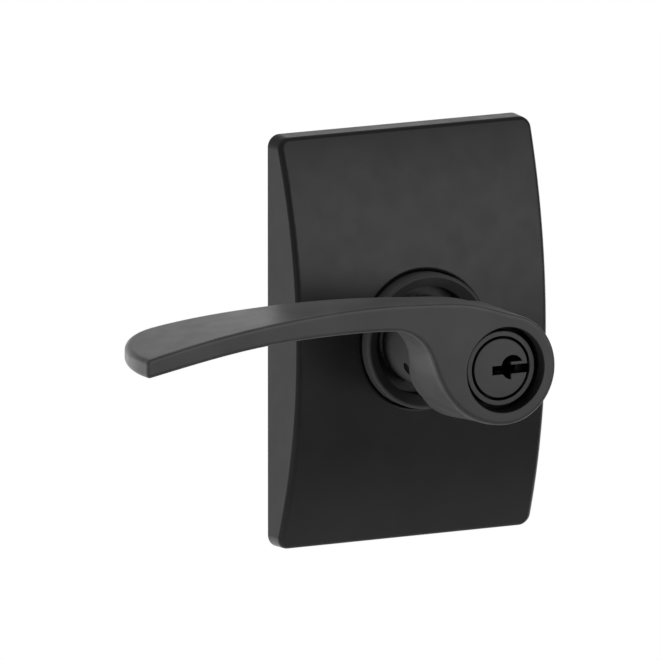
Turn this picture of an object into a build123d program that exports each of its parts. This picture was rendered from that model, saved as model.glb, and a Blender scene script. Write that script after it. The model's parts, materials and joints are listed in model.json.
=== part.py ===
from build123d import *
import os
from math import acos, asin, cos, degrees, radians, sin, sqrt, tan

# Keyed lever trim for the outside of a door, in millimetres.
# Every piece is drawn with x to the right, y up and z outward from the door face, with the lever's
# axis on z, and save() turns it so that up is +Z and outward is -Y.

# ---- door and rose
ROSE_WIDTH = 71.4
ROSE_HEIGHT = 104.8
ROSE_DEPTH = 15.5
ROSE_CROWN_RADIUS = 136.7
ROSE_CORNER = 3.2
ROSE_SIDE_DRAFT = 0.049
ROSE_EDGE_FILLET = 1.3
ROSE_WALL = 1.8
ROSE_HOLE_RADIUS = 17.3
ROSE_RIM_FILLET = 0.8

# ---- mounting plate, what it carries, and the hole in the door
PLATE_THICKNESS = 2.0
PLATE_GAP = 0.3
PLATE_HOLE_RADIUS = 13.0
PLATE_TAB_WIDTH = 9.0
PLATE_TAB_HEIGHT = 4.0
PLATE_TAB_THICKNESS = 1.2
PLATE_TAB_SPREAD = 27.0
PILOT_RADIUS = 26.5
PILOT_WALL = 1.8
PILOT_LENGTH = 10.0
POST_SPACING = 38.0
POST_RADIUS = 3.3
POST_THREAD_RADIUS = 2.1
POST_FLANGE_RADIUS = 3.8
POST_FLANGE_HEIGHT = 1.2
POST_REACH = 24.0
STOP_PIN_RADIUS = 1.5
STOP_CIRCLE_RADIUS = 19.5
STOP_CLEARANCE = 0.1

# ---- spring cage
CAGE_RADIUS = 24.4
CAGE_WALL = 1.5
CAGE_FRONT = 11.4
CAGE_FRONT_WALL = 1.5
CAGE_FILLET = 2.2
CAGE_HUB_RADIUS = 15.0
CAGE_HUB_HEIGHT = 3.5
CAGE_EAR_OFFSET = 18.8
CAGE_EAR_RADIUS = 3.6
CAGE_EAR_THICKNESS = 1.6
CAGE_SCREW_RADIUS = 1.5
CAGE_SCREW_HEAD_RADIUS = 2.8
CAGE_SCREW_HEAD_HEIGHT = 1.7

# ---- collar and bushing
COLLAR_RADIUS = 17.15
COLLAR_INNER_RADIUS = 13.85
COLLAR_FRONT = 18.5
COLLAR_ROUNDING = 0.8
COLLAR_LIP = 0.1
COLLAR_DISH_DEPTH = 1.5
BUSHING_RADIUS = 11.4
BUSHING_FLANGE_RADIUS = 13.7
BUSHING_FLANGE_HEIGHT = 1.2
RUNNING_GAP = 0.05

# ---- spindle tube, drive cam and the shaft that works the latch
TUBE_RADIUS = 9.0
TUBE_BORE_RADIUS = 7.5
TUBE_FRONT = 30.9
TUBE_BACK = -1.6
CAM_BACK = 2.5
CAM_THICKNESS = 2.4
CAM_RADIUS = 13.8
CAM_ARM_RADIUS = 21.2
CAM_ARM_WIDTH = 5.2
CAM_KEY_WIDTH = 3.0
CAM_KEY_DEPTH = 1.3
LEVER_SWING = 45.0
TAB_HALF_WIDTH = 1.6
TAB_INNER_RADIUS = 16.6
TAB_OUTER_RADIUS = 18.6
TAB_FRONT = 9.4
CLIP_BACK = 1.2
CLIP_THICKNESS = 1.0
CLIP_GROOVE_RADIUS = 8.3
CLIP_RADIUS = 10.8
LATCH_SHAFT_SIZE = 8.0
LATCH_SHAFT_BORE = 3.1
LATCH_SHAFT_REACH = 46.0

# ---- return spring
SPRING_RADIUS = 13.6
SPRING_WIRE = 0.75
SPRING_BEND = 1.5
SPRING_PITCH = 1.55
SPRING_BACK = 5.75
SPRING_LEG_END = 22.0
ANCHOR_CIRCLE_RADIUS = 20.7

# ---- lever
LEVER_FRONT = 59.8
HEAD_RADIUS = 13.9
SHANK_RADIUS = 11.2
SHANK_BACK = 14.4
SHANK_STRAIGHT_END = 27.0
HEAD_STRAIGHT_START = 40.0
SHANK_BORE_RADIUS = 9.2
NECK_REACH = 40.0
MOUTH_RADIUS = 10.7
HEEL_RADIUS = 12.3
HEEL_CENTRE = (-2.2, -2.9)
HEEL_BACK = 38.0
POCKET_RADIUS = 10.5
POCKET_BACK = 35.0
WEB_THICKNESS = 1.9
BOSS_RADIUS = 6.4
BOSS_FLAT = 5.4

# ---- lever catch
CATCH_ANGLE = 205.0
CATCH_PLACE = 26.5
CATCH_RADIUS = 1.7
CATCH_GAP = 0.1
CATCH_TOP = 11.0
CATCH_BASE_TOP = 6.6
CATCH_BASE_THICKNESS = 1.1
CATCH_BASE_SIZE = 4.0
CATCH_SPRING_THICKNESS = 0.45
CATCH_SPRING_WIDTH = 3.6
CATCH_SPRING_OPENING = 46.0

# ---- lock cylinder
CYLINDER_FRONT = 57.2
CYLINDER_SHOULDER = 54.0
CYLINDER_RING_RADIUS = 9.4
CYLINDER_RADIUS = 10.4
PLUG_RADIUS = 5.6
PLUG_HEAD_RADIUS = 7.45
PLUG_HEAD_HEIGHT = 3.2
PLUG_TAIL_RADIUS = 4.2
PLUG_TAIL_START = 35.5
PLUG_TAIL_END = 29.5
FACE_GAP = 0.7
BOSS_BACK = 31.2
CYLINDER_CLIP_RADIUS = 8.2
CYLINDER_CLIP_GROOVE = 5.7
CYLINDER_CLIP_THICKNESS = 0.9
KEYWAY_HEIGHT = 2.3
KEYWAY_OFFSET = -0.5
KEYWAY_TIP = -2.4
KEYWAY_END = 35.8
BULGE_RADIUS = 3.1
BULGE_CENTRE = 3.2
BULGE_DEPTH = 4.5
CHAMBER_RADIUS = 1.45
CHAMBER_FRONT = 52.2
CHAMBER_PITCH = 3.6
PIN_RADIUS = 1.38
KEY_PIN_LENGTHS = (3.4, 4.2, 3.0, 4.6, 3.8)
KEY_PIN_DROP = 0.27
DRIVER_LENGTH = 2.0
COVER_THICKNESS = 0.6
COVER_WIDTH = 3.6
COVER_MARGIN = 0.2
PIN_SPRING_WIRE = 0.15
PIN_SPRING_TURNS = 4
BLADE_WIDTH = 5.2
BLADE_THICKNESS = 1.2
BLADE_FRONT = 31.3
BLADE_REACH = 42.0
CAP_RADIUS = 5.2
CAP_FRONT = 31.0
CAP_BACK = 28.7


# ---- shared shapes

def disc(radius, back, front):
    """A round bar on the lever's axis."""
    return Pos(0, 0, back) * extrude(Circle(radius), front - back)


def ring(inner, outer, back, front):
    """A plain ring on the lever's axis."""
    return Pos(0, 0, back) * extrude(Circle(outer) - Circle(inner), front - back)


def block(x_range, y_range, z_range):
    """A box between three pairs of limits."""
    size = [high - low for low, high in (x_range, y_range, z_range)]
    centre = [(low + high) / 2 for low, high in (x_range, y_range, z_range)]
    return Pos(*centre) * Box(*size)


def open_ring(inner, outer, back, front, opening, facing):
    """A ring with a gap of `opening` degrees, centred on the angle `facing`."""
    reach = outer * 2
    spread = reach * tan(radians(opening / 2))
    wedge = Polygon((0, 0), (reach, -spread), (reach, spread), align=None)
    gap = extrude(Rot(0, 0, facing) * wedge, front - back)
    return ring(inner, outer, back, front) - Pos(0, 0, back) * gap


def polar(radius, angle):
    return radius * cos(radians(angle)), radius * sin(radians(angle))


def coil(radius, wire, pitch, turns):
    """A wound wire that starts at z = 0."""
    path = Helix(pitch=pitch, height=pitch * turns, radius=radius)
    section = Plane(origin=path @ 0, z_dir=path % 0) * Circle(wire)
    return sweep(section, path=path, is_frenet=True)


# ---- rose and what fixes it to the door

def rose_shape(inset):
    """The rose's outer form, or the form `inset` inside it."""
    half_height = ROSE_HEIGHT / 2 - inset
    corner = max(ROSE_CORNER - inset, 0.8)
    outline = RectangleRounded(ROSE_WIDTH - 2 * inset, ROSE_HEIGHT - 2 * inset, corner)
    column = extrude(outline, ROSE_DEPTH, taper=degrees(ROSE_SIDE_DRAFT))
    crown = Pos(0, 0, ROSE_DEPTH - ROSE_CROWN_RADIUS) * Rot(0, 90, 0) * Cylinder(
        ROSE_CROWN_RADIUS - inset, ROSE_WIDTH * 2)
    band = block((-ROSE_WIDTH, ROSE_WIDTH), (-half_height, half_height), (0, ROSE_DEPTH * 2))
    return column & crown & band


def rose():
    body = rose_shape(0)
    front_edges = [edge for edge in body.edges() if min(v.Z for v in edge.vertices()) > PLATE_THICKNESS]
    body = fillet(front_edges, ROSE_EDGE_FILLET)
    body -= rose_shape(ROSE_WALL)
    body -= disc(ROSE_HOLE_RADIUS, PLATE_THICKNESS, ROSE_DEPTH * 2)
    rim = [edge for edge in body.edges() if is_on_rim(edge)]
    return fillet(rim, ROSE_RIM_FILLET)


def is_on_rim(edge):
    """True for the outer edge of the rose's round hole."""
    points = [edge @ step for step in (0.0, 0.3, 0.6)]
    round_enough = all(abs(sqrt(p.X ** 2 + p.Y ** 2) - ROSE_HOLE_RADIUS) < 0.05 for p in points)
    return round_enough and min(p.Z for p in points) > ROSE_DEPTH - ROSE_WALL


def post_places():
    return Locations((-POST_SPACING / 2, 0), (POST_SPACING / 2, 0))


def stop_places():
    """Pins that the cam's arm meets at each end of the lever's swing."""
    side_gap = CAM_ARM_WIDTH / 2 + STOP_PIN_RADIUS + STOP_CLEARANCE
    reach = LEVER_SWING + degrees(asin(side_gap / STOP_CIRCLE_RADIUS))
    return Locations(polar(STOP_CIRCLE_RADIUS, 90 - reach), polar(STOP_CIRCLE_RADIUS, 90 + reach))


def ear_places():
    return GridLocations(2 * CAGE_EAR_OFFSET, 2 * CAGE_EAR_OFFSET, 2, 2)


def mounting_plate():
    margin = 2 * (ROSE_WALL + PLATE_GAP)
    width = ROSE_WIDTH - margin
    outline = RectangleRounded(width, ROSE_HEIGHT - margin, ROSE_CORNER)
    outline -= Circle(PLATE_HOLE_RADIUS)
    outline -= post_places() * Circle(POST_RADIUS)
    outline -= stop_places() * Circle(STOP_PIN_RADIUS)
    outline -= ear_places() * Circle(CAGE_SCREW_RADIUS)
    plate = extrude(outline, PLATE_THICKNESS)
    inner = width / 2 - PLATE_TAB_THICKNESS - ROSE_SIDE_DRAFT * (PLATE_THICKNESS + PLATE_TAB_HEIGHT)
    for side in (-1, 1):
        for centre in (-PLATE_TAB_SPREAD, PLATE_TAB_SPREAD):
            ends = sorted((side * inner, side * (inner + PLATE_TAB_THICKNESS)))
            plate += block(ends, (centre - PLATE_TAB_WIDTH / 2, centre + PLATE_TAB_WIDTH / 2),
                           (PLATE_THICKNESS, PLATE_THICKNESS + PLATE_TAB_HEIGHT))
    return plate


def pilot_ring():
    """The ring, welded to the plate's back, that centres the trim in the hole bored through the door."""
    return ring(PILOT_RADIUS - PILOT_WALL, PILOT_RADIUS, -PILOT_LENGTH, 0)


def mounting_posts():
    """Internally threaded posts, riveted through the plate, for the bolts from the other side."""
    outline = Circle(POST_RADIUS) - Circle(POST_THREAD_RADIUS)
    post = Pos(0, 0, -POST_REACH) * extrude(outline, POST_REACH + PLATE_THICKNESS)
    flange_front = PLATE_THICKNESS + POST_FLANGE_HEIGHT
    post += ring(POST_THREAD_RADIUS, POST_FLANGE_RADIUS, PLATE_THICKNESS, flange_front)
    return post_places() * post


def stop_pins():
    front = CAM_BACK + CAM_THICKNESS + 0.4
    pin = chamfer(disc(STOP_PIN_RADIUS, 0, front).edges().group_by(Axis.Z)[-1], 0.3)
    return stop_places() * pin


def spring_cage():
    """A cup that covers the spring, with a threaded hub for the collar."""
    cup = disc(CAGE_RADIUS, PLATE_THICKNESS, CAGE_FRONT)
    cup = fillet(cup.edges().group_by(Axis.Z)[-1], CAGE_FILLET)
    cup -= disc(CAGE_RADIUS - CAGE_WALL, PLATE_THICKNESS, CAGE_FRONT - CAGE_FRONT_WALL)
    cup += ring(BUSHING_FLANGE_RADIUS + 0.1, CAGE_HUB_RADIUS, CAGE_FRONT, CAGE_FRONT + CAGE_HUB_HEIGHT)
    cup -= disc(BUSHING_RADIUS, PLATE_THICKNESS, CAGE_FRONT)
    anchor_back = CAM_BACK + CAM_THICKNESS + 0.4
    cup += Pos(0, ANCHOR_CIRCLE_RADIUS, 0) * disc(TAB_HALF_WIDTH, anchor_back, CAGE_FRONT - CAGE_FRONT_WALL)
    ear_front = PLATE_THICKNESS + CAGE_EAR_THICKNESS
    ear = disc(CAGE_EAR_RADIUS, PLATE_THICKNESS, ear_front)
    cup += [place * ear - disc(CAGE_RADIUS - CAGE_WALL / 2, 0, CAGE_FRONT) for place in ear_places()]
    for place in ear_places():
        cup -= place * disc(CAGE_SCREW_RADIUS, 0, CAGE_FRONT / 2)
        cup -= place * disc(CAGE_SCREW_HEAD_RADIUS + 0.2, ear_front, CAGE_FRONT * 2)
    return cup


def cage_screws():
    head_back = PLATE_THICKNESS + CAGE_EAR_THICKNESS
    screw = disc(CAGE_SCREW_RADIUS, 0.2, head_back)
    head = disc(CAGE_SCREW_HEAD_RADIUS, head_back, head_back + CAGE_SCREW_HEAD_HEIGHT)
    head = fillet(head.edges().group_by(Axis.Z)[-1], 0.8)
    for angle in (0, 90):
        slot = Rot(0, 0, angle) * Box(3.0, 0.7, 2.0)
        head -= Pos(0, 0, head_back + CAGE_SCREW_HEAD_HEIGHT) * slot
    return ear_places() * (screw + head)


def rose_collar():
    """The ring screwed onto the hub to hold the rose: a rounded outer edge round a dished face."""
    collar = disc(COLLAR_RADIUS, CAGE_FRONT + 0.1, COLLAR_FRONT)
    collar = fillet(collar.edges().group_by(Axis.Z)[-1], COLLAR_ROUNDING)
    collar -= disc(CAGE_HUB_RADIUS, 0, CAGE_FRONT + CAGE_HUB_HEIGHT + 0.1)
    collar -= disc(COLLAR_INNER_RADIUS, 0, COLLAR_FRONT)
    rim_radius = COLLAR_RADIUS - COLLAR_ROUNDING - COLLAR_LIP
    dish = Cone(COLLAR_INNER_RADIUS, rim_radius, COLLAR_DISH_DEPTH)
    return collar - Pos(0, 0, COLLAR_FRONT - COLLAR_DISH_DEPTH / 2) * dish


def spindle_bushing():
    back = CAM_BACK + CAM_THICKNESS + 0.2
    bore = TUBE_RADIUS + RUNNING_GAP
    sleeve = ring(bore, BUSHING_RADIUS, back, CAGE_FRONT)
    return sleeve + ring(bore, BUSHING_FLANGE_RADIUS, CAGE_FRONT, CAGE_FRONT + BUSHING_FLANGE_HEIGHT)


def return_spring():
    """A two-turn torsion spring whose legs hold the cam's tab against the cage's anchor."""
    leg_x = TAB_HALF_WIDTH + SPRING_WIRE + RUNNING_GAP
    start_angle = degrees(acos((leg_x - SPRING_BEND) / SPRING_RADIUS))
    turns = 2 + 2 * (90 - start_angle) / 360
    winding = Helix(SPRING_PITCH, SPRING_PITCH * turns, SPRING_RADIUS)
    winding = Pos(0, 0, SPRING_BACK) * Rot(0, 0, start_angle) * winding
    near_leg = spring_leg(winding @ 0, -(winding % 0))
    far_leg = spring_leg(winding @ 1, winding % 1)
    path = Wire([*near_leg, winding, *far_leg])
    section = Plane(origin=path @ 0, z_dir=path % 0) * Circle(SPRING_WIRE)
    return sweep(section, path=path)


def spring_leg(end, direction):
    """A leg and the bend that joins it to the winding's end, which runs on in `direction`."""
    corner = end + direction * SPRING_BEND
    foot = corner + Vector(0, SPRING_BEND, 0)
    return Line((corner.X, SPRING_LEG_END, corner.Z), foot), Bezier(foot, corner, end)


# ---- lever

def lever_outline():
    """The lever seen from the front: a round head and a long arm that leaves it in an S."""
    with BuildSketch() as sketch:
        with BuildLine():
            start = (3.4, sqrt(HEAD_RADIUS ** 2 - 3.4 ** 2))
            top = Spline(start, (-7.8, 16.9), (-19.0, 18.3), (-33.0, 18.9), (-57.0, 17.8), (-76.0, 15.5),
                         (-99.6, 10.9), tangents=[(-start[1], start[0]), (-1, -0.235)])
            tip = Line(top @ 1, (-99.6, 6.3))
            under = Spline(tip @ 1, (-84.0, 9.2), (-70.0, 11.3), (-54.0, 12.5), (-40.0, 12.7), (-30.0, 12.2),
                           tangents=[(1, 0.19), (1, -0.11)])
            neck = Spline(under @ 1, (-25.0, 10.2), (-21.0, 5.2), (-18.4, -1.2), (-14.7, -7.2), (-8.0, -12.3),
                          (0, -HEAD_RADIUS), tangents=[(1, -0.11), (1, 0)])
            ThreePointArc(neck @ 1, (HEAD_RADIUS, 0), start)
        make_face()
    return sketch.sketch


def rear_of_arm():
    """All that lies in front of the arm's rear edge, with the rounded end of the tip, seen from above."""
    with BuildSketch() as sketch:
        with BuildLine():
            rear = Spline((-17.0, 47.9), (-30.0, 46.4), (-44.0, 43.0), (-57.5, 39.3), (-71.0, 35.9),
                          (-85.0, 33.5), tangents=[(-1, -0.02), (-1, -0.1)])
            corner = Spline(rear @ 1, (-92.3, 35.9), (-96.9, 43.0), (-99.0, 51.0), (-99.5, 57.0),
                            tangents=[(-1, -0.1), (0, 1)])
            front_corner = RadiusArc(corner @ 1, (-96.7, LEVER_FRONT), 2.9)
            Polyline(front_corner @ 1, (20, LEVER_FRONT), (20, 47.9), rear @ 0)
        make_face()
    return sketch.sketch


def rear_of_neck():
    """The neck's rear edge seen from the side: deep beside the shank and shallow under the arm."""
    with BuildSketch() as sketch:
        with BuildLine():
            rear = Spline((-20.0, 37.8), (-9.5, 38.0), (-5.3, 39.4), (1.1, 43.6), (6.0, 46.2), (14.0, 47.5),
                          (30.0, 47.9), tangents=[(1, 0), (1, 0)])
            Polyline(rear @ 1, (30.0, LEVER_FRONT), (-20.0, LEVER_FRONT), rear @ 0)
        make_face()
    return sketch.sketch


def head_and_shank():
    with BuildSketch() as sketch:
        with BuildLine():
            flare = Spline((SHANK_RADIUS, SHANK_STRAIGHT_END), (HEAD_RADIUS, HEAD_STRAIGHT_START),
                           tangents=[(0, 1), (0, 1)])
            Polyline(flare @ 1, (HEAD_RADIUS, LEVER_FRONT), (0, LEVER_FRONT), (0, SHANK_BACK),
                     (SHANK_RADIUS, SHANK_BACK), flare @ 0)
        make_face()
    profile = Rot(90, 0, 0) * sketch.sketch
    return revolve(profile, Axis.Z)


def heel():
    """The fullness under the head where the neck's rear edge runs on below the shank."""
    rear = Pos(*HEEL_CENTRE, HEEL_BACK) * Circle(HEEL_RADIUS)
    front = Pos(0, 0, LEVER_FRONT) * Circle(HEAD_RADIUS)
    return loft([rear, front])


def lever_blank():
    outline = extrude(lever_outline(), LEVER_FRONT)
    arm = Pos(0, NECK_REACH, 0) * Rot(90, 0, 0) * extrude(rear_of_arm(), 2 * NECK_REACH)
    side = Plane(origin=(-NECK_REACH, 0, 0), x_dir=(0, 1, 0), z_dir=(1, 0, 0))
    neck = extrude(side * rear_of_neck(), 2 * NECK_REACH)
    return outline & (arm + neck)


def catch_frame():
    """The catch's own frame: z points outward along its travel, from the lever's axis."""
    x, y = polar(1, CATCH_ANGLE)
    return Plane(origin=(0, 0, CATCH_PLACE), x_dir=(0, 0, 1), z_dir=(x, y, 0))


def d_shape(radius, flat):
    """A round with two flats, above and below."""
    return Circle(radius) & Rectangle(radius * 3, flat * 2)


def lever():
    body = lever_blank() + head_and_shank() + heel()
    body -= disc(MOUTH_RADIUS, CYLINDER_SHOULDER, LEVER_FRONT * 2)
    body -= disc(POCKET_RADIUS, POCKET_BACK, CYLINDER_SHOULDER)
    body -= disc(SHANK_BORE_RADIUS, 0, POCKET_BACK - WEB_THICKNESS)
    body -= extrude(d_shape(BOSS_RADIUS + 0.1, BOSS_FLAT + 0.1), POCKET_BACK)
    body -= catch_frame() * disc(CATCH_RADIUS + CATCH_GAP, TUBE_RADIUS - 1, SHANK_RADIUS * 2)
    return body


# ---- spindle

def spindle_tube():
    """The tube that the lever slides onto: it turns in the bushing and carries the cam."""
    tube = ring(TUBE_BORE_RADIUS, TUBE_RADIUS, TUBE_BACK, TUBE_FRONT)
    tube = chamfer(tube.edges().group_by(Axis.Z)[-1].sort_by(SortBy.RADIUS)[-1], 0.5)
    tube -= ring(CLIP_GROOVE_RADIUS, TUBE_RADIUS + 1, CLIP_BACK, CLIP_BACK + CLIP_THICKNESS)
    tube -= block((-TUBE_RADIUS - 1, TUBE_RADIUS + 1), (-CAM_KEY_WIDTH / 2, CAM_KEY_WIDTH / 2),
                  (TUBE_BACK - 1, CAM_BACK + CAM_THICKNESS))
    return tube - catch_frame() * disc(CATCH_RADIUS + CATCH_GAP, 0, TUBE_RADIUS * 2)


def drive_cam():
    """A plate keyed to the tube: its arm meets the stop pins and its tab winds the return spring."""
    front = CAM_BACK + CAM_THICKNESS
    arm = block((-CAM_ARM_WIDTH / 2, CAM_ARM_WIDTH / 2), (0, CAM_ARM_RADIUS + 1), (CAM_BACK, front))
    cam = disc(CAM_RADIUS, CAM_BACK, front) + (arm & disc(CAM_ARM_RADIUS, CAM_BACK, front))
    cam -= disc(TUBE_RADIUS, 0, front * 2)
    for side in (-1, 1):
        ends = sorted((side * (TUBE_RADIUS - CAM_KEY_DEPTH), side * (TUBE_RADIUS + 0.5)))
        cam += block(ends, (-CAM_KEY_WIDTH / 2, CAM_KEY_WIDTH / 2), (CAM_BACK, front))
    cam += block((-TAB_HALF_WIDTH, TAB_HALF_WIDTH), (TAB_INNER_RADIUS, TAB_OUTER_RADIUS), (front, TAB_FRONT))
    return cam


def cam_clip():
    return open_ring(CLIP_GROOVE_RADIUS, CLIP_RADIUS, CLIP_BACK, CLIP_BACK + CLIP_THICKNESS, 60, 270)


def spring_washer():
    """A dished washer that takes up the end play between the bushing and the lever."""
    back = CAGE_FRONT + BUSHING_FLANGE_HEIGHT + RUNNING_GAP
    front = SHANK_BACK - 0.4
    inner = TUBE_RADIUS + 0.2
    outer = SHANK_RADIUS - 0.1
    outline = Polygon((inner, front), (outer, back), (outer, back + 0.4), (inner, front + 0.4), align=None)
    return revolve(Rot(90, 0, 0) * outline, Axis.Z)


def latch_shaft():
    """A hollow square shaft, staked in the back of the tube, that turns the latch."""
    flange = disc(TUBE_BORE_RADIUS - RUNNING_GAP, TUBE_BACK + 0.2, TUBE_BACK + 2.2)
    shaft = Pos(0, 0, -LATCH_SHAFT_REACH) * extrude(
        RectangleRounded(LATCH_SHAFT_SIZE, LATCH_SHAFT_SIZE, 0.6), LATCH_SHAFT_REACH)
    return shaft + flange - disc(LATCH_SHAFT_BORE, -LATCH_SHAFT_REACH, LATCH_SHAFT_REACH)


# ---- lever catch

def lever_catch():
    """A button in the shank's hole that holds the lever on the tube until it is pressed in."""
    button = disc(CATCH_RADIUS, CATCH_BASE_TOP, CATCH_TOP)
    button = fillet(button.edges().group_by(Axis.Z)[-1], 0.4)
    base_centre = CATCH_BASE_TOP - CATCH_BASE_THICKNESS / 2
    base = Pos(0, 0, base_centre) * Box(CATCH_BASE_SIZE, CATCH_BASE_SIZE, CATCH_BASE_THICKNESS)
    return catch_frame() * (button + base)


def catch_spring():
    """A sprung strip curled round the inside of the tube, with its two ends beside the catch."""
    outer = TUBE_BORE_RADIUS - 0.1
    half = CATCH_SPRING_WIDTH / 2
    return open_ring(outer - CATCH_SPRING_THICKNESS, outer, CATCH_PLACE - half, CATCH_PLACE + half,
                     CATCH_SPRING_OPENING, CATCH_ANGLE)


# ---- lock cylinder

def chamber_places():
    """The pin chambers' frames: z points from the axis toward the lever's arm."""
    for step in range(len(KEY_PIN_LENGTHS)):
        depth = CHAMBER_FRONT - CHAMBER_PITCH * step
        yield Plane(origin=(0, 0, depth), x_dir=(0, 1, 0), z_dir=(-1, 0, 0))


def cylinder_housing():
    """The fixed body of the lock, with the ring that shows round the plug's face."""
    body = disc(CYLINDER_RADIUS, POCKET_BACK, CYLINDER_SHOULDER)
    body += disc(CYLINDER_RING_RADIUS, CYLINDER_SHOULDER, CYLINDER_FRONT)
    body += Pos(0, 0, BOSS_BACK) * extrude(d_shape(BOSS_RADIUS, BOSS_FLAT), POCKET_BACK - BOSS_BACK)
    groove_back = POCKET_BACK - WEB_THICKNESS - CYLINDER_CLIP_THICKNESS - 0.1
    body -= ring(CYLINDER_CLIP_GROOVE, BOSS_RADIUS + 1, groove_back, groove_back + CYLINDER_CLIP_THICKNESS)
    body = chamfer(body.edges().group_by(Axis.Z)[-1], 0.15)
    head_seat = CYLINDER_FRONT - PLUG_HEAD_HEIGHT - RUNNING_GAP
    body -= disc(PLUG_HEAD_RADIUS + FACE_GAP, head_seat, CYLINDER_FRONT + 1)
    body -= disc(PLUG_RADIUS + RUNNING_GAP, PLUG_TAIL_START - RUNNING_GAP, CYLINDER_FRONT)
    body -= disc(PLUG_TAIL_RADIUS + RUNNING_GAP, BOSS_BACK - 1, CYLINDER_FRONT)
    for place in chamber_places():
        body -= place * disc(CHAMBER_RADIUS, PLUG_RADIUS - 1, CYLINDER_RADIUS + 1)
    return body - cover_space()


def cover_range():
    """From just behind the last chamber to just in front of the first."""
    margin = CHAMBER_RADIUS + COVER_MARGIN
    return CHAMBER_FRONT - CHAMBER_PITCH * (len(KEY_PIN_LENGTHS) - 1) - margin, CHAMBER_FRONT + margin


def cover_space():
    """The shallow seat along the chambers' mouths."""
    inner = CYLINDER_RADIUS - COVER_THICKNESS
    return block((-CYLINDER_RADIUS - 1, -inner), (-COVER_WIDTH / 2, COVER_WIDTH / 2), cover_range())


def pin_cover():
    """A strip that closes the pin chambers."""
    return cover_space() & disc(CYLINDER_RADIUS - 0.02, 0, LEVER_FRONT)


def cylinder_clip():
    front = POCKET_BACK - WEB_THICKNESS - 0.1
    back = front - CYLINDER_CLIP_THICKNESS
    return open_ring(CYLINDER_CLIP_GROOVE, CYLINDER_CLIP_RADIUS, back, front, 70, 90)


def keyway():
    """The slot for the key, open at the side away from the pins."""
    low = KEYWAY_OFFSET - KEYWAY_HEIGHT / 2
    depth = (KEYWAY_END, CYLINDER_FRONT + 1)
    return block((KEYWAY_TIP, PLUG_HEAD_RADIUS + 1), (low, low + KEYWAY_HEIGHT), depth)


def keyway_mouth():
    """The shallow round relief at the keyway's mouth, less the bars that guide the key's edge."""
    relief = Pos(BULGE_CENTRE, 0, 0) * disc(BULGE_RADIUS, CYLINDER_FRONT - BULGE_DEPTH, CYLINDER_FRONT + 1)
    top = KEYWAY_OFFSET + KEYWAY_HEIGHT / 2
    reach = (BULGE_CENTRE - 0.3, PLUG_HEAD_RADIUS + 1)
    upper_bar = block(reach, (top, top + 0.7), (0, LEVER_FRONT))
    lower_bar = block(reach, (-PLUG_HEAD_RADIUS, KEYWAY_OFFSET), (0, LEVER_FRONT))
    return relief - upper_bar - lower_bar


def plug():
    body = disc(PLUG_RADIUS, PLUG_TAIL_START, CYLINDER_FRONT - PLUG_HEAD_HEIGHT)
    head = disc(PLUG_HEAD_RADIUS, CYLINDER_FRONT - PLUG_HEAD_HEIGHT, CYLINDER_FRONT)
    body += chamfer(head.edges().group_by(Axis.Z)[-1], 0.12)
    body += disc(PLUG_TAIL_RADIUS, PLUG_TAIL_END, PLUG_TAIL_START)
    body -= keyway() + keyway_mouth()
    body -= block((-PLUG_RADIUS, PLUG_RADIUS), (-BLADE_THICKNESS / 2, BLADE_THICKNESS / 2),
                  (PLUG_TAIL_END - 1, BLADE_FRONT))
    for place in chamber_places():
        body -= place * disc(CHAMBER_RADIUS, PLUG_RADIUS - max(KEY_PIN_LENGTHS) - 0.1, PLUG_RADIUS + 1)
    return body


def key_pins():
    """The pins that ride on the key, held at the height where the plug can turn."""
    pins = []
    for place, length in zip(chamber_places(), KEY_PIN_LENGTHS):
        pin = disc(PIN_RADIUS, PLUG_RADIUS - length, PLUG_RADIUS - KEY_PIN_DROP)
        pins.append(place * chamfer(pin.edges().group_by(Axis.Z)[0], 0.7))
    return pins


def driver_pins():
    pin = disc(PIN_RADIUS, PLUG_RADIUS + RUNNING_GAP + 0.05, PLUG_RADIUS + DRIVER_LENGTH)
    pin = chamfer(pin.edges().group_by(Axis.Z)[-1], 0.2)
    return [place * pin for place in chamber_places()]


def pin_springs():
    back = PLUG_RADIUS + DRIVER_LENGTH + PIN_SPRING_WIRE
    front = CYLINDER_RADIUS - COVER_THICKNESS - PIN_SPRING_WIRE
    pitch = (front - back) / PIN_SPRING_TURNS
    winding_radius = PIN_RADIUS - 2 * PIN_SPRING_WIRE
    spring = Pos(0, 0, back) * coil(winding_radius, PIN_SPRING_WIRE, pitch, PIN_SPRING_TURNS)
    return [place * spring for place in chamber_places()]


def tailpiece():
    """The flat blade that the plug turns and that reaches through the latch."""
    half_width = BLADE_WIDTH / 2
    half_thickness = BLADE_THICKNESS / 2
    return block((-half_width, half_width), (-half_thickness, half_thickness), (-BLADE_REACH, BLADE_FRONT))


def plug_cap():
    """The screwed cap that keeps the plug in its housing and the tailpiece in the plug."""
    cap = ring(PLUG_TAIL_RADIUS, CAP_RADIUS, PLUG_TAIL_END, CAP_FRONT)
    return cap + ring(BLADE_WIDTH / 2 + 0.3, CAP_RADIUS, CAP_BACK, PLUG_TAIL_END)


def save(node, shape):
    """Turn a piece, or a group of like pieces, into the door's frame and write it."""
    if isinstance(shape, list):
        shape = Compound(shape)
    shape = Rot(90, 0, 0) * shape
    shape.label = node
    export_step(shape, f"parts/{node}.step")


NODES = (
    rose, mounting_plate, pilot_ring, mounting_posts, stop_pins, spring_cage, cage_screws, rose_collar,
    spindle_bushing, return_spring, lever, spindle_tube, drive_cam, cam_clip, spring_washer, latch_shaft,
    lever_catch, catch_spring, cylinder_housing, cylinder_clip, pin_cover, driver_pins, pin_springs, plug,
    key_pins, tailpiece, plug_cap,
)

os.makedirs("parts", exist_ok=True)
for make in NODES:
    save(make.__name__, make())
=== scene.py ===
import json
import math

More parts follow.
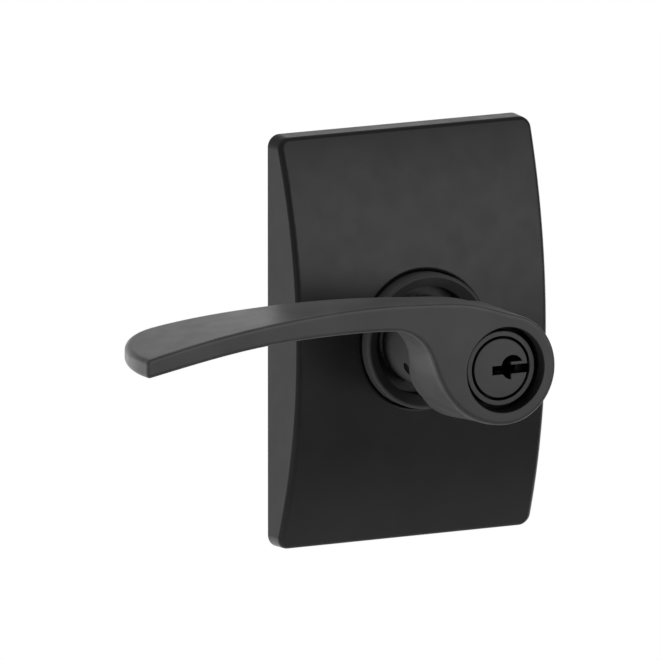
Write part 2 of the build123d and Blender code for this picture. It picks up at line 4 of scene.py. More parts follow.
import bmesh
import bpy
import numpy as np
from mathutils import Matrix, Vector


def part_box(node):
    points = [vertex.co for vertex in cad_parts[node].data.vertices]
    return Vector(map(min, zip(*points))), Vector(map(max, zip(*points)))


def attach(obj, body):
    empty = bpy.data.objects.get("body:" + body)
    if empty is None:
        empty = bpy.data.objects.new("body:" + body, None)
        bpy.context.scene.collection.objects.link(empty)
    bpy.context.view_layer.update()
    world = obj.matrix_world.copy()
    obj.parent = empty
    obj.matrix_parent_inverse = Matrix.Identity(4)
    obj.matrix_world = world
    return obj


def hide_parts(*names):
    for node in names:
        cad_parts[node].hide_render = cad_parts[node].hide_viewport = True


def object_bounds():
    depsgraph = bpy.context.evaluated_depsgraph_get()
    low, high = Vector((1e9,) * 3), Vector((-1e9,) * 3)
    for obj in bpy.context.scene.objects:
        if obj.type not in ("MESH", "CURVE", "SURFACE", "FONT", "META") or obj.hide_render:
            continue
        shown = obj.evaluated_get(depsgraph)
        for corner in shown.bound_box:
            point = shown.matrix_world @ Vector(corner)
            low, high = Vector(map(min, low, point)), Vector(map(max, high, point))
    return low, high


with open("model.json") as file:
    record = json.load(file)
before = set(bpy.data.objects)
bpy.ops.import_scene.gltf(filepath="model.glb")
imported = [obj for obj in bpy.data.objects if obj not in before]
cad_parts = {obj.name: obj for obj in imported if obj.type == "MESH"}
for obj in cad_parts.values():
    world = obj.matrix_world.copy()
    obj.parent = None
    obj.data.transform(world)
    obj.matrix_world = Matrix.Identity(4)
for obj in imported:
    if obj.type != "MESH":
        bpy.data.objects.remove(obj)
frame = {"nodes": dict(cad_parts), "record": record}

CAD_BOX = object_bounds()
NODES = frame["nodes"]
MM = 0.001

# Frame: +Z up, -Y outward from the door, the lever's axis on Y, its arm toward -X.
# The lever's shape is written in millimetres as (x, z, depth), where depth is the distance outward
# from the door face, so y = -depth.


def depth_range(node):
    """The rearmost and foremost depth of a CAD node, in millimetres."""
    low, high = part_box(node)
    return -high.y / MM, -low.y / MM


# ---- the view: angles in degrees, lengths in metres, the sensor in millimetres
VIEW_AZIMUTH = -27.1
VIEW_ELEVATION = 10.94
VIEW_DISTANCE = 5.0
VIEW_WIDTH = 0.1651
VIEW_REACH = 50.0
AIM_RIGHT = -0.01627
AIM_UP = -0.0002
SENSOR = 36.0

# ---- the floor, in metres, and the room's brightness, 1 for a white sheet
FLOOR_DROP = 0.25
FLOOR_REACH = 0.3
FRONT_ROOM = 0.15
BACK_ROOM = 1.3
# the room brightens as a direction's product with BACKDROP_WAY goes from the start to the end
BACKDROP_WAY = (0.45, 0.8, -0.8)
BACKDROP_START = 0.45
BACKDROP_END = 0.75

# ---- the lever
SHANK_BACK, LEVER_FRONT = depth_range("lever")
HEAD_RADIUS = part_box("lever")[1].x / MM
SHANK_RADIUS = 11.2
SHANK_STRAIGHT_END = 27.0
HEAD_STRAIGHT_START = 40.0
TIP_X = -99.5
ARM_BACK = 47.9
HEEL_CENTRE = (-2.2, -2.9)
HEEL_RADIUS = 12.3
HEEL_BACK = 38.0
NECK_REACH = 40.0
FRONT_ROUNDING = 0.6
NECK_ROUNDING = 1.1
# the front edge takes the neck's softer rounding between these stretches of x, below this one of z
SOFT_FROM_X = (-30.0, -22.0)
SOFT_TO_X = (-8.0, 0.0)
SOFT_TO_Z = (7.0, 12.0)
REAR_ROUNDING = 1.5
SHANK_ROUNDING = 0.4
BLEND_RADIUS = 2.0
BLEND_END = (42.0, 50.0)

# ---- how the lever is meshed: the outlines run on past its front and are read from grids of
# distances, and the net's corners are then moved onto the surface in a few passes
OUTLINE_BEYOND = 8.0
FIELD_STEP = 0.2
FIELD_X = (-106.0, 20.0)
FIELD_Z = (-22.0, 26.0)
FIELD_DEPTH = (10.0, 64.0)
NET_STEP = 0.4
NET_LOW = (-102.0, -19.0, SHANK_BACK - 1.2)
NET_HIGH = (HEAD_RADIUS + 2, 22.0, LEVER_FRONT + 1.3)
PASSES = 4
SLOPE_REACH = 0.02
LEAST_SLOPE = 0.5
LONGEST_MOVE = 0.3
SHARP_ANGLE = 40.0

# ---- what is cut out of the lever
MOUTH_RADIUS = 10.7
MOUTH_RIM = 0.2
SHOULDER_DEPTH = 54.0
SHOULDER_RISE = 0.001
POCKET_RADIUS = 10.5
POCKET_BACK = 35.0
WEB_THICKNESS = 1.9
SHANK_BORE_RADIUS = 9.2
BOSS_RADIUS = 6.5
BOSS_FLAT = 5.5
CATCH_ANGLE = math.radians(205.0)
CATCH_DEPTH = 26.5
CATCH_HOLE_RADIUS = 1.8
# how far the cutters reach past the metal that they cut
CATCH_BEYOND = 8.0
CUT_BEYOND = 2.0
WEB_BEYOND = 1.0
CUT_SEGMENTS = 128
CATCH_SEGMENTS = 48

# ---- the lock's face, and the painted shade and duller gloss below it
LOCK_FACE = depth_range("plug")[1]
SHADE_DROP = 0.3
SHADE_FADE = 0.5


# ---- curves

def spline(points, start, end, step=0.6):
    """A smooth curve through the points, with the given directions at its two ends."""
    points = np.array(points, float)
    spans = np.hypot(*np.diff(points, axis=0).T)
    start = np.array(start) / np.hypot(*start)
    end = np.array(end) / np.hypot(*end)
    count = len(points)
    system = np.zeros((count, count))
    known = np.zeros((count, 2))
    system[0, 0] = system[-1, -1] = 1
    known[0], known[-1] = start, end
    for k in range(1, count - 1):
        before, after = spans[k - 1], spans[k]
        system[k, k - 1:k + 2] = after, 2 * (before + after), before
        known[k] = 3 * (after * (points[k] - points[k - 1]) / before
                        + before * (points[k + 1] - points[k]) / after)
    slopes = np.linalg.solve(system, known)
    curve = []
    for k, span in enumerate(spans):
        for t in np.linspace(0, 1, max(2, int(span / step)), endpoint=False):
            reach = 3 * t ** 2 - 2 * t ** 3
            curve.append((1 - reach) * points[k] + reach * points[k + 1]
                         + span * t * (1 - t) * ((1 - t) * slopes[k] - t * slopes[k + 1]))
    curve.append(points[-1])
    return [tuple(point) for point in curve]


def arc(centre, radius, first, last, count):
    """Points on a circle between two angles in degrees."""
    angles = np.radians(np.linspace(first, last, count))
    return [(centre[0] + radius * math.cos(a), centre[1] + radius * math.sin(a)) for a in angles]


def circle(radius, count):
    """Points all the way round a circle about the middle."""
    return arc((0, 0), radius, 0, 360, count + 1)[:-1]


def lever_outline():
    """The neck and arm from the front, as (x, z). On the right it closes inside the round head."""
    start = (3.4, math.sqrt(HEAD_RADIUS ** 2 - 3.4 ** 2))
    past_tip = TIP_X - 0.1
    top = spline([start, (-7.8, 16.9), (-19.0, 18.3), (-33.0, 18.9), (-57.0, 17.8), (-76.0, 15.5),
                  (past_tip, 10.9)], (-start[1], start[0]), (-1, -0.235))
    under = spline([(past_tip, 6.3), (-84.0, 9.2), (-70.0, 11.3), (-54.0, 12.5), (-40.0, 12.7),
                    (-30.0, 12.2)], (1, 0.19), (1, -0.11))
    neck = spline([(-30.0, 12.2), (-25.0, 10.2), (-21.0, 5.2), (-18.4, -1.2), (-14.7, -7.2), (-8.0, -12.3),
                   (0, -HEAD_RADIUS)], (1, -0.11), (1, 0))
    return top + under + neck[1:] + arc((0, 0), HEAD_RADIUS - 1, -80, 65, 30)


def arm_from_above():
    """The arm and the rounded end of its tip from above, as (x, depth)."""
    beyond = LEVER_FRONT + OUTLINE_BEYOND
    rear = spline([(-17.0, ARM_BACK), (-30.0, 46.4), (-44.0, 43.0), (-57.5, 39.3), (-71.0, 35.9),
                   (-85.0, 33.5)], (-1, -0.02), (-1, -0.1))
    corner = spline([(-85.0, 33.5), (-92.3, 35.9), (-96.9, 43.0), (-99.0, 51.0), (TIP_X, 57.0)],
                    (-1, -0.1), (0, 1))
    return rear + corner[1:] + [(TIP_X, beyond), (20, beyond), (20, ARM_BACK)]


def neck_from_side():
    """The neck from the side, as (z, depth): deep beside the shank and shallow under the arm."""
    beyond = LEVER_FRONT + OUTLINE_BEYOND
    rear = spline([(-20.0, 37.8), (-9.5, 38.0), (-5.3, 39.4), (1.1, 43.6), (6.0, 46.2), (14.0, 47.5),
                   (30.0, ARM_BACK)], (1, 0), (1, 0))
    return rear + [(30.0, beyond), (-20.0, beyond)]


# ---- distance fields: negative inside, positive outside, in millimetres

def polygon_distance(outline, a, b):
    """The signed distance of the points (a, b) from a closed outline."""
    corners = np.array(outline)
    nearest = np.full(a.shape, np.inf)
    inside = np.zeros(a.shape, bool)
    for (a0, b0), (a1, b1) in zip(corners, np.roll(corners, -1, axis=0)):
        da, db = a1 - a0, b1 - b0
        along = np.clip(((a - a0) * da + (b - b0) * db) / (da * da + db * db + 1e-12), 0, 1)
        nearest = np.minimum(nearest, (a - a0 - along * da) ** 2 + (b - b0 - along * db) ** 2)
        if db != 0:
            inside ^= ((b0 > b) != (b1 > b)) & (a < a0 + (b - b0) * da / db)
    return np.where(inside, -1, 1) * np.sqrt(nearest)


class Field:
    """An outline's signed distance, worked out once on a fine grid and then read between its points."""

    def __init__(self, outline, a_range, b_range):
        """The grid covers the two ranges and must hold the whole outline."""
        self.low, high = np.array((a_range, b_range)).T
        counts = (high - self.low) / FIELD_STEP
        axes = [low + FIELD_STEP * np.arange(int(count) + 2) for low, count in zip(self.low, counts)]
        self.values = polygon_distance(outline, *np.meshgrid(*axes, indexing="ij"))

    def __call__(self, a, b):
        a = np.clip((a - self.low[0]) / FIELD_STEP, 0, self.values.shape[0] - 1.001)
        b = np.clip((b - self.low[1]) / FIELD_STEP, 0, self.values.shape[1] - 1.001)
        i, j = a.astype(int), b.astype(int)
        s, t = a - i, b - j
        near = self.values[i, j] * (1 - t) + self.values[i, j + 1] * t
        far = self.values[i + 1, j] * (1 - t) + self.values[i + 1, j + 1] * t
        return near * (1 - s) + far * s


def round_meet(p, q, radius):
    """What lies in both p and q, with its edge rounded."""
    corner = np.hypot(np.maximum(radius + p, 0), np.maximum(radius + q, 0))
    return np.minimum(-radius, np.maximum(p, q)) + corner


def round_join(p, q, radius):
    """What lies in p or q, with the corner between them filled in."""
    corner = np.hypot(np.maximum(radius - p, 0), np.maximum(radius - q, 0))
    return np.maximum(radius, np.minimum(p, q)) - corner


def ease(value, start, end):
    """0 before start, 1 after end and smooth between."""
    t = np.clip((value - start) / (end - start), 0, 1)
    return t * t * (3 - 2 * t)


def front_rounding(x, z):
    """The rounding of the front edge: crisp on the head and the arm, soft along the neck's left side."""
    along_neck = ease(x, *SOFT_FROM_X) * (1 - ease(x, *SOFT_TO_X)) * (1 - ease(z, *SOFT_TO_Z))
    return FRONT_ROUNDING + (NECK_ROUNDING - FRONT_ROUNDING) * along_neck


def lever_field():
    """The lever's whole outer form as a function of x, z and depth."""
    outline = Field(lever_outline(), FIELD_X, FIELD_Z)
    above = Field(arm_from_above(), FIELD_X, FIELD_DEPTH)
    side = Field(neck_from_side(), FIELD_Z, FIELD_DEPTH)

    def field(x, z, depth):
        radius = np.hypot(x, z)
        flare = ease(depth, SHANK_STRAIGHT_END, HEAD_STRAIGHT_START)
        profile = SHANK_RADIUS + (HEAD_RADIUS - SHANK_RADIUS) * flare
        rounding = front_rounding(x, z)
        head = round_meet(radius - profile, depth - LEVER_FRONT, rounding)
        head = round_meet(head, SHANK_BACK - depth, SHANK_ROUNDING)
        share = (depth - HEEL_BACK) / (LEVER_FRONT - HEEL_BACK)
        heel_radius = HEEL_RADIUS + (HEAD_RADIUS - HEEL_RADIUS) * share
        heel = np.hypot(x - HEEL_CENTRE[0] * (1 - share), z - HEEL_CENTRE[1] * (1 - share)) - heel_radius
        heel = round_meet(heel, depth - LEVER_FRONT, rounding)
        heel = round_meet(heel, HEEL_BACK - depth, REAR_ROUNDING)
        rear = np.minimum(above(x, depth), np.maximum(side(z, depth), -NECK_REACH - x))
        arm = round_meet(outline(x, z), rear, REAR_ROUNDING)
        arm = round_meet(arm, depth - LEVER_FRONT, rounding)
        blend = BLEND_RADIUS * (1 - ease(depth, *BLEND_END)) + 0.01
        return round_join(head, np.minimum(arm, heel), blend)

    return field


# ---- a mesh from a field

def shifted(count, axis, offsets):
    """The part of a grid that lies `offsets` on from the cells, across `axis`."""
    cut = [slice(None)] * 3
    for other, offset in zip([k for k in range(3) if k != axis], offsets):
        cut[other] = slice(offset, count[other] - 1 + offset)
    return tuple(cut)


def surface_net(values):
    """Vertices, in grid steps, and quads of the surface where a grid of values crosses zero."""
    count = values.shape
    cells = tuple(n - 1 for n in count)
    total = np.zeros(cells + (3,))
    hits = np.zeros(cells)
    inside = values < 0
    crossings = []
    for axis in range(3):
        low = tuple(slice(0, -1) if k == axis else slice(None) for k in range(3))
        high = tuple(slice(1, None) if k == axis else slice(None) for k in range(3))
        crossing = inside[low] != inside[high]
        where = np.nonzero(crossing)
        places = np.stack(where, -1).astype(float)
        first, second = values[low][where], values[high][where]
        places[:, axis] += first / (first - second)
        grid = np.zeros(crossing.shape + (3,))
        grid[where] = places
        for offsets in ((0, 0), (0, 1), (1, 0), (1, 1)):
            part = shifted(count, axis, offsets)
            total += grid[part]
            hits += crossing[part]
        crossings.append((where, inside[low][where]))
    mixed = hits > 0
    number = np.full(cells, -1)
    number[mixed] = np.arange(mixed.sum())
    faces = []
    for axis, (where, starts_inside) in enumerate(crossings):
        one, two = [k for k in range(3) if k != axis]
        corners = []
        for step_one, step_two in ((0, 0), (-1, 0), (-1, -1), (0, -1)):
            index = list(where)
            index[one] = where[one] + step_one
            index[two] = where[two] + step_two
            corners.append(number[tuple(index)])
        quads = np.stack(corners, -1)
        turn = starts_inside if axis != 1 else ~starts_inside
        faces.append(np.where(turn[:, None], quads, quads[:, ::-1]))
    return total[mixed] / hits[mixed][:, None], np.concatenate(faces)


def onto_surface(field, points):
    """Move points straight onto the surface where the field is zero."""
    for _ in range(PASSES):
        value = field(*points.T)
        slope = np.stack([(field(*(points + step).T) - field(*(points - step).T)) / (2 * SLOPE_REACH)
                          for step in np.eye(3) * SLOPE_REACH], -1)
        steepness = np.maximum((slope ** 2).sum(-1, keepdims=True), LEAST_SLOPE ** 2)
        points = points - np.clip(value[:, None] * slope / steepness, -LONGEST_MOVE, LONGEST_MOVE)
    return points


def lever_form():
    """The lever's outer form as a mesh, before anything is cut out of it."""
    field = lever_field()
    axes = [np.arange(low, high, NET_STEP) for low, high in zip(NET_LOW, NET_HIGH)]
    values = field(*np.meshgrid(*axes, indexing="ij"))
    points, faces = surface_net(values)
    points = onto_surface(field, np.array(NET_LOW) + points * NET_STEP)
    corners = np.stack([points[:, 0], -points[:, 2], points[:, 1]], -1) * MM
    return add_mesh("lever_handle", corners.tolist(), faces.tolist())


# ---- pieces

def add_mesh(name, vertices, faces):
    """A piece made of vertices, in metres, and faces that all look outward."""
    mesh = bpy.data.meshes.new(name)
    mesh.from_pydata(vertices, [], faces)
    mesh.validate()
    made = bmesh.new()
    made.from_mesh(mesh)
    bmesh.ops.recalc_face_normals(made, faces=made.faces)
    made.to_mesh(mesh)
    made.free()
    piece = bpy.data.objects.new(name, mesh)
    bpy.context.scene.collection.objects.link(piece)
    return piece


def revolved(name, profile):
    """A closed turned form on the lever's axis, from (radius, depth) points between its two ends."""
    vertices = []
    for radius, depth in profile:
        for x, z in circle(radius, CUT_SEGMENTS):
            vertices.append((x * MM, -depth * MM, z * MM))
    return add_mesh(name, vertices, tube_faces(len(profile), CUT_SEGMENTS))


def tube_faces(rows, columns):
    """Faces for rings of vertices one after another, with the two ends closed."""
    faces = [tuple(range(columns)), tuple(range((rows - 1) * columns, rows * columns))]
    for row in range(rows - 1):
        for k in range(columns):
            after = (k + 1) % columns
            faces.append((row * columns + k, row * columns + after,
                          (row + 1) * columns + after, (row + 1) * columns + k))
    return faces


def bore_cutter():
    """The round mouth with its small rim, the pocket for the lock and the shank's bore, as two forms."""
    rim = [(MOUTH_RADIUS + MOUTH_RIM * (1 - math.cos(t)), LEVER_FRONT - MOUTH_RIM * (1 - math.sin(t)))
           for t in np.radians((0, 22.5, 45, 67.5, 90))]
    pocket = revolved("pocket", [(POCKET_RADIUS, POCKET_BACK), (POCKET_RADIUS, SHOULDER_DEPTH),
                                 (MOUTH_RADIUS, SHOULDER_DEPTH + SHOULDER_RISE)] + rim
                      + [(MOUTH_RADIUS + MOUTH_RIM, LEVER_FRONT + CUT_BEYOND)])
    bore = revolved("bore", [(SHANK_BORE_RADIUS, SHANK_BACK - CUT_BEYOND),
                             (SHANK_BORE_RADIUS, POCKET_BACK - WEB_THICKNESS)])
    return [pocket, bore]


def boss_cutter():
    """The round hole with two flats that the lock's boss passes through."""
    vertices = []
    for depth in (POCKET_BACK - WEB_THICKNESS - WEB_BEYOND, POCKET_BACK + WEB_BEYOND):
        for x, z in circle(BOSS_RADIUS, CUT_SEGMENTS):
            vertices.append((x * MM, -depth * MM, max(-BOSS_FLAT, min(BOSS_FLAT, z)) * MM))
    return add_mesh("boss", vertices, tube_faces(2, CUT_SEGMENTS))


def catch_cutter():
    """The hole in the shank's side for the catch."""
    out_x, out_z = math.cos(CATCH_ANGLE), math.sin(CATCH_ANGLE)
    vertices = []
    for reach in (SHANK_BORE_RADIUS - CUT_BEYOND, SHANK_RADIUS + CATCH_BEYOND):
        for along, across in circle(CATCH_HOLE_RADIUS, CATCH_SEGMENTS):
            vertices.append(((reach * out_x - across * out_z) * MM, -(CATCH_DEPTH + along) * MM,
                             (reach * out_z + across * out_x) * MM))
    return add_mesh("catch_hole", vertices, tube_faces(2, CATCH_SEGMENTS))


def cut(piece, cutters, material):
    """Take the cutters' forms out of the piece and remove them. The cut faces get the material."""
    for cutter in cutters:
        cutter.data.materials.append(material)
        modifier = piece.modifiers.new(cutter.name, "BOOLEAN")
        modifier.operation = "DIFFERENCE"
        modifier.solver = "EXACT"
        modifier.material_mode = "TRANSFER"
        modifier.object = cutter
    shown = piece.evaluated_get(bpy.context.evaluated_depsgraph_get())
    piece.modifiers.clear()
    piece.data = bpy.data.meshes.new_from_object(shown)
    for cutter in cutters:
        bpy.data.objects.remove(cutter)


def smooth(piece, angle):
    """Shade a piece smooth, but keep the edges that turn by more than an angle in degrees."""
    piece.data.shade_smooth()
    piece.data.set_sharp_from_angle(angle=math.radians(angle))


def make_lever(outside, bore):
    """The whole lever in place of the CAD one, coated outside, and in its bores with a dull coat darkened
    as painted shade.
    """
    piece = lever_form()
    piece.data.materials.append(outside)
    cut(piece, bore_cutter() + [boss_cutter(), catch_cutter()], bore)
    smooth(piece, SHARP_ANGLE)
    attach(piece, "lever")
    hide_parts("lever")


# ---- materials

class Shader:
    """A material's nodes, built one call at a time. Sizes of detail are in millimetres."""

    def __init__(self, name):
        self.material = bpy.data.materials.new(name)
        self.material.use_nodes = True
        self.nodes = self.material.node_tree.nodes
        self.links = self.material.node_tree.links
        self.surface = self.nodes["Principled BSDF"]
        self.place = self.nodes.new("ShaderNodeTexCoord").outputs["Object"]

    def noise(self, size, detail=2.0, stretch=None):
        """Cloudy variation whose features are about `size` across, drawn out along an axis by `stretch`."""
        node = self.nodes.new("ShaderNodeTexNoise")
        node.inputs["Scale"].default_value = 1 / (size * MM)
        node.inputs["Detail"].default_value = detail
        place = self.place
        if stretch:
            mapping = self.nodes.new("ShaderNodeMapping")
            mapping.inputs["Scale"].default_value = stretch
            self.links.new(place, mapping.inputs["Vector"])
            place = mapping.outputs["Vector"]
        self.links.new(place, node.inputs["Vector"])
        return node.outputs["Fac"]

    def spread(self, value, low, high, start=0.3, end=0.7):
        """Map the range start to end of a value onto low to high."""
        node = self.nodes.new("ShaderNodeMapRange")
        for name, number in (("From Min", start), ("From Max", end), ("To Min", low), ("To Max", high)):
            node.inputs[name].default_value = number
        self.links.new(value, node.inputs["Value"])
        return node.outputs["Result"]

    def between(self, factor, first, second):
        """A colour between two others."""
        node = self.nodes.new("ShaderNodeMix")
        node.data_type = "RGBA"
        self.links.new(factor, node.inputs[0])
        for socket, colour in ((node.inputs[6], first), (node.inputs[7], second)):
            if isinstance(colour, tuple):
                socket.default_value = colour + (1,)
            else:
                self.links.new(colour, socket)
        return node.outputs[2]

    def edges(self, start, end):
        """0 on flat stretches and 1 on outer edges."""
        return self.spread(self.nodes.new("ShaderNodeNewGeometry").outputs["Pointiness"], 0, 1, start, end)

    def depth_shade_mask(self, depth, reach):
        """0 down to a depth from the door and 1 from `reach` below it, both in millimetres: a mask for
        painted shade in hollows.
        """
        node = self.nodes.new("ShaderNodeSeparateXYZ")
        self.links.new(self.place, node.inputs["Vector"])
        return self.spread(node.outputs["Y"], 0, 1, -depth * MM, (reach - depth) * MM)

    def times(self, first, second):
        """Two values multiplied."""
        node = self.nodes.new("ShaderNodeMath")
        node.operation = "MULTIPLY"
        self.links.new(first, node.inputs[0])
        self.links.new(second, node.inputs[1])
        return node.outputs[0]

    def bump(self, height, strength, distance):
        """Relief `distance` millimetres high, at a share `strength` of its full effect."""
        node = self.nodes.new("ShaderNodeBump")
        node.inputs["Strength"].default_value = strength
        node.inputs["Distance"].default_value = distance * MM
        self.links.new(height, node.inputs["Height"])
        self.links.new(node.outputs["Normal"], self.surface.inputs["Normal"])

    def finish(self, colour, roughness, **fixed):
        """Join the colour and roughness to the surface, set its other inputs and give the material."""
        self.links.new(colour, self.surface.inputs["Base Color"])
        self.links.new(roughness, self.surface.inputs["Roughness"])
        for name, number in fixed.items():
            self.surface.inputs[name.replace("_", " ")].default_value = number
        return self.material


def powder_coat(name, painted_lift, gloss=0.5, roughest=0.4, edge_highlights=False):
    """Matte black powder coat: a fine orange-peel skin and slight clouding, with painted highlights that
    lighten its edges if asked.
    """
    shader = Shader(name)
    # painted light and shade: the lift makes lit and shaded copies of this one coat, lighter on the lever
    # and collar and darkest on the rose
    dark = (0.011 * painted_lift, 0.011 * painted_lift, 0.0115 * painted_lift)
    light = (0.015 * painted_lift, 0.015 * painted_lift, 0.0155 * painted_lift)
    colour = shader.between(shader.spread(shader.noise(14), 0, 1), dark, light)
    if edge_highlights:
        # painted highlight: the outer edges are lightened, standing in for light caught along them
        painted_edge_highlight = shader.times(shader.edges(0.53, 0.62), shader.spread(shader.noise(3.5), 0, 0.5))
        colour = shader.between(painted_edge_highlight, colour, (0.06, 0.06, 0.062))
    roughness = shader.spread(shader.noise(5), roughest - 0.06, roughest)
    shader.bump(shader.noise(0.55), 0.3, 0.02)
    return shader.finish(colour, roughness, Specular_IOR_Level=gloss)


def shaded_rose_coat():
    """The rose's copy of the coat, painted darkest of the three as shaded."""
    return powder_coat("powder_coat", painted_lift=0.7)


def lit_lever_coat():
    """The lever's copy of the coat, painted much lighter than the rose's as lit, glossier, and with painted
    highlights on its edges.
    """
    return powder_coat("lit_powder_coat_on_lever", painted_lift=3.3, gloss=0.6, edge_highlights=True)


def lit_collar_coat():
    """The collar's copy of the coat, duller than the rose's and painted lighter as lit."""
    return powder_coat("lit_powder_coat_on_collar", painted_lift=3.0, gloss=0.35, roughest=0.48)


def shaded_cage_finish():
    """A dull near-black finish, clouded, on drawn sheet: the spring cage made dark as painted shade for the
    collar's deep recess.
    """
    shader = Shader("shaded_cage_finish")
    # painted shade: the cage's tone is near black because it shows only inside the shaded collar
    dark, light = (0.026, 0.026, 0.0265), (0.036, 0.036, 0.0365)
    tone = shader.between(shader.spread(shader.noise(4), 0, 1), dark, light)
    shader.bump(shader.noise(0.6), 0.2, 0.01)
    return shader.finish(tone, shader.spread(shader.noise(1.5), 0.5, 0.62), Specular_IOR_Level=0.3)


def bore_shade_coat():
    """A dull coat for the lever's bores, far darker than its outside coat: painted shade for the inside of
    the bores.
    """
    shader = Shader("powder_coat_with_painted_shade_in_bore")
    # painted shade: the bore's tone is kept well below the outside coat's, standing in for the shade inside
    # the bore
    dark, light = (0.013, 0.013, 0.013), (0.017, 0.017, 0.017)
    tone = shader.between(shader.spread(shader.noise(3), 0, 1), dark, light)
    shader.bump(shader.noise(0.5), 0.3, 0.02)
    return shader.finish(tone, shader.spread(shader.noise(2), 0.6, 0.7), Specular_IOR_Level=0.25)


def black_plating():
    """Satin black plating with the fine turned grain of a lock's face; below that face it is duller and
    darkened almost to black, a painted shade for the deep parts of the lock.
    """
    shader = Shader("black_plating")
    depth_shade_mask = shader.depth_shade_mask(LOCK_FACE - SHADE_DROP, SHADE_FADE)
    dark, light = (0.050, 0.0505, 0.051), (0.057, 0.0575, 0.058)
    tone = shader.between(shader.spread(shader.noise(9), 0, 1), dark, light)
    # painted shade: below the lock's face the tone falls to near black, standing in for the shade in the
    # lock's hollows
    tone = shader.between(depth_shade_mask, tone, (0.006, 0.006, 0.006))
    shader.links.new(shader.spread(depth_shade_mask, 0.6, 0.12, 0, 1), shader.surface.inputs["Specular IOR Level"])
    roughness = shader.spread(shader.noise(0.8), 0.38, 0.43)
    shader.bump(shader.noise(0.2), 0.15, 0.008)
    return shader.finish(tone, roughness)


def zinc_plate():
    """Bright zinc plate over rolled steel, with clouding and drawn-out scratches."""
    shader = Shader("zinc_plate")
    dark, light = (0.42, 0.42, 0.40), (0.56, 0.57, 0.57)
    tone = shader.between(shader.spread(shader.noise(8, 4), 0, 1), dark, light)
    roughness = shader.spread(shader.noise(0.7, 2, (1, 1, 0.06)), 0.26, 0.42)
    shader.bump(shader.noise(0.4, 2, (1, 1, 0.05)), 0.2, 0.008)
    return shader.finish(tone, roughness, Metallic=1.0)


def oiled_spring_steel():
    """Dark drawn spring steel with a thin film of oil."""
    shader = Shader("oiled_spring_steel")
    dark, light = (0.20, 0.19, 0.18), (0.31, 0.31, 0.32)
    tone = shader.between(shader.spread(shader.noise(4, 3), 0, 1), dark, light)
    roughness = shader.spread(shader.noise(1.2), 0.24, 0.38)
    shader.bump(shader.noise(0.3), 0.15, 0.006)
    return shader.finish(tone, roughness, Metallic=1.0)


def moulded_acetal():
    """Black moulded acetal with a faint waxy unevenness."""
    shader = Shader("moulded_acetal")
    dark, light = (0.010, 0.010, 0.010), (0.015, 0.015, 0.015)
    tone = shader.between(shader.spread(shader.noise(5), 0, 1), dark, light)
    roughness = shader.spread(shader.noise(1.5), 0.36, 0.46)
    shader.bump(shader.noise(0.8), 0.1, 0.01)
    return shader.finish(tone, roughness)


def machined_brass():
    """Turned and sawn brass with tool marks and a light tarnish."""
    shader = Shader("machined_brass")
    dark, light = (0.62, 0.43, 0.16), (0.76, 0.58, 0.27)
    tone = shader.between(shader.spread(shader.noise(3, 4), 0, 1), dark, light)
    roughness = shader.spread(shader.noise(0.5, 2, (1, 0.1, 1)), 0.24, 0.38)
    shader.bump(shader.noise(0.2, 2, (1, 0.1, 1)), 0.2, 0.006)
    return shader.finish(tone, roughness, Metallic=1.0)


FINISHES = {
    "matte_black_finish": shaded_rose_coat,
    "black_lock_face": black_plating,
    "zinc_plated_steel": zinc_plate,
    "black_zinc_plate": shaded_cage_finish,
    "spring_steel": oiled_spring_steel,
    "black_acetal": moulded_acetal,
    "brass": machined_brass,
}


def finish_nodes(materials):
    """Give every CAD node the material of its slot in the record, and the collar its duller copy of the
    coat, painted lighter as lit.
    """
    for part in frame["record"]["subparts"]:
        data = NODES[part["node"]].data
        data.materials.clear()
        data.materials.append(materials[part["material_slot"]])
    NODES["rose_collar"].data.materials[0] = lit_collar_coat()


# ---- the camera, the floor and the lights

def make_camera():
    """A long lens from the left of the front and a little above."""
    azimuth, elevation = math.radians(VIEW_AZIMUTH), math.radians(VIEW_ELEVATION)
    right = Vector((math.cos(azimuth), math.sin(azimuth), 0))
    back = Vector((math.sin(azimuth) * math.cos(elevation), -math.cos(azimuth) * math.cos(elevation),
                   math.sin(elevation)))
    data = bpy.data.cameras.new("camera")
    data.sensor_width = SENSOR
    data.lens = SENSOR * VIEW_DISTANCE / VIEW_WIDTH
    data.clip_end = VIEW_REACH
    camera = bpy.data.objects.new("camera", data)
    bpy.context.scene.collection.objects.link(camera)
    camera.location = right * AIM_RIGHT + back.cross(right) * AIM_UP + back * VIEW_DISTANCE
    camera.rotation_mode = "QUATERNION"
    camera.rotation_quaternion = (-back).to_track_quat("-Z", "Y")
    bpy.context.scene.camera = camera


def make_floor():
    """A pale sheet well below the object."""
    z = CAD_BOX[0].z - FLOOR_DROP
    corners = [(x * FLOOR_REACH, y * FLOOR_REACH, z) for x, y in ((-1, -1), (1, -1), (1, 1), (-1, 1))]
    floor = add_mesh("floor", corners, [(0, 1, 2, 3)])
    material = bpy.data.materials.new("pale_floor")
    material.use_nodes = True
    shader = material.node_tree.nodes["Principled BSDF"]
    shader.inputs["Base Color"].default_value = (0.42, 0.42, 0.42, 1)
    shader.inputs["Roughness"].default_value = 0.9
    shader.inputs["Specular IOR Level"].default_value = 0.1
    floor.data.materials.append(material)


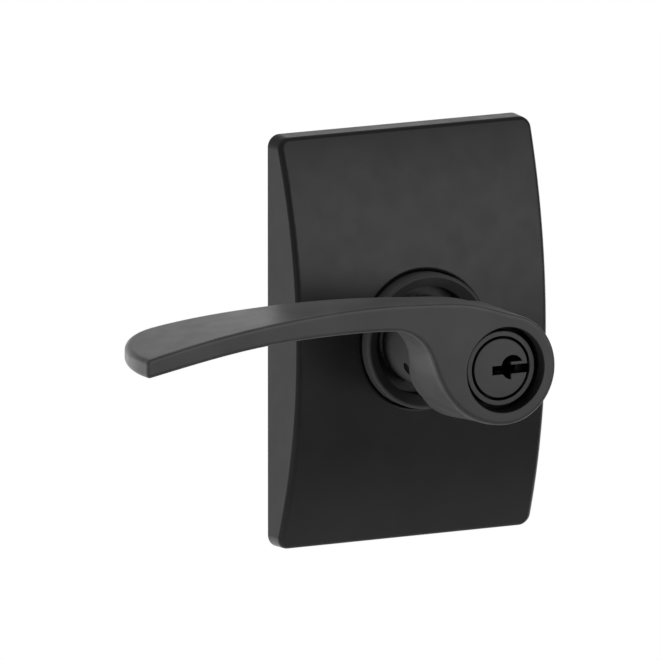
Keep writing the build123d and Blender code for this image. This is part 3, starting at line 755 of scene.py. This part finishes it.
def add_light(name, place, size, brightness, mirrored=True):
    """A soft panel that faces the object, `brightness` times as bright as a white sheet.

    The camera doesn't see it, and surfaces show it as a reflection only if it is mirrored.
    """
    data = bpy.data.lights.new(name, "AREA")
    data.shape = "RECTANGLE"
    data.size, data.size_y = size
    data.energy = brightness * math.pi * size[0] * size[1]
    light = bpy.data.objects.new(name, data)
    bpy.context.scene.collection.objects.link(light)
    light.location = place
    light.rotation_mode = "QUATERNION"
    light.rotation_quaternion = (-Vector(place)).to_track_quat("-Z", "Y")
    light.visible_camera = False
    light.visible_glossy = mirrored


def make_lights():
    """A white backdrop, a room dim in front and bright behind, and panels in front, low left and above."""
    world = bpy.data.worlds.new("studio")
    world.use_nodes = True
    nodes, links = world.node_tree.nodes, world.node_tree.links
    toward_back = nodes.new("ShaderNodeVectorMath")
    toward_back.operation = "DOT_PRODUCT"
    toward_back.inputs[1].default_value = BACKDROP_WAY
    links.new(nodes.new("ShaderNodeTexCoord").outputs["Generated"], toward_back.inputs[0])
    room = nodes.new("ShaderNodeMapRange")
    room.inputs["From Min"].default_value = BACKDROP_START
    room.inputs["From Max"].default_value = BACKDROP_END
    room.inputs["To Min"].default_value = FRONT_ROOM
    room.inputs["To Max"].default_value = BACK_ROOM
    links.new(toward_back.outputs["Value"], room.inputs["Value"])
    seen = nodes.new("ShaderNodeMix")
    seen.inputs["B"].default_value = 1.0
    links.new(nodes.new("ShaderNodeLightPath").outputs["Is Camera Ray"], seen.inputs["Factor"])
    links.new(room.outputs["Result"], seen.inputs["A"])
    background = nodes["Background"]
    background.inputs["Color"].default_value = (1, 1, 1, 1)
    links.new(seen.outputs["Result"], background.inputs["Strength"])
    bpy.context.scene.world = world
    add_light("front_panel", (0.75, -1.4, 0.27), (1.5, 1.2), 1.4)
    add_light("left_panel", (-0.85, 0.0, -0.75), (1.1, 1.0), 9.0, mirrored=False)
    add_light("top_panel", (0.0, 0.45, 1.2), (0.8, 0.8), 13.0, mirrored=False)


make_camera()
make_floor()
make_lights()
bpy.context.scene.view_settings.view_transform = "Standard"
materials = {slot: make() for slot, make in FINISHES.items()}
finish_nodes(materials)
make_lever(lit_lever_coat(), bore_shade_coat())
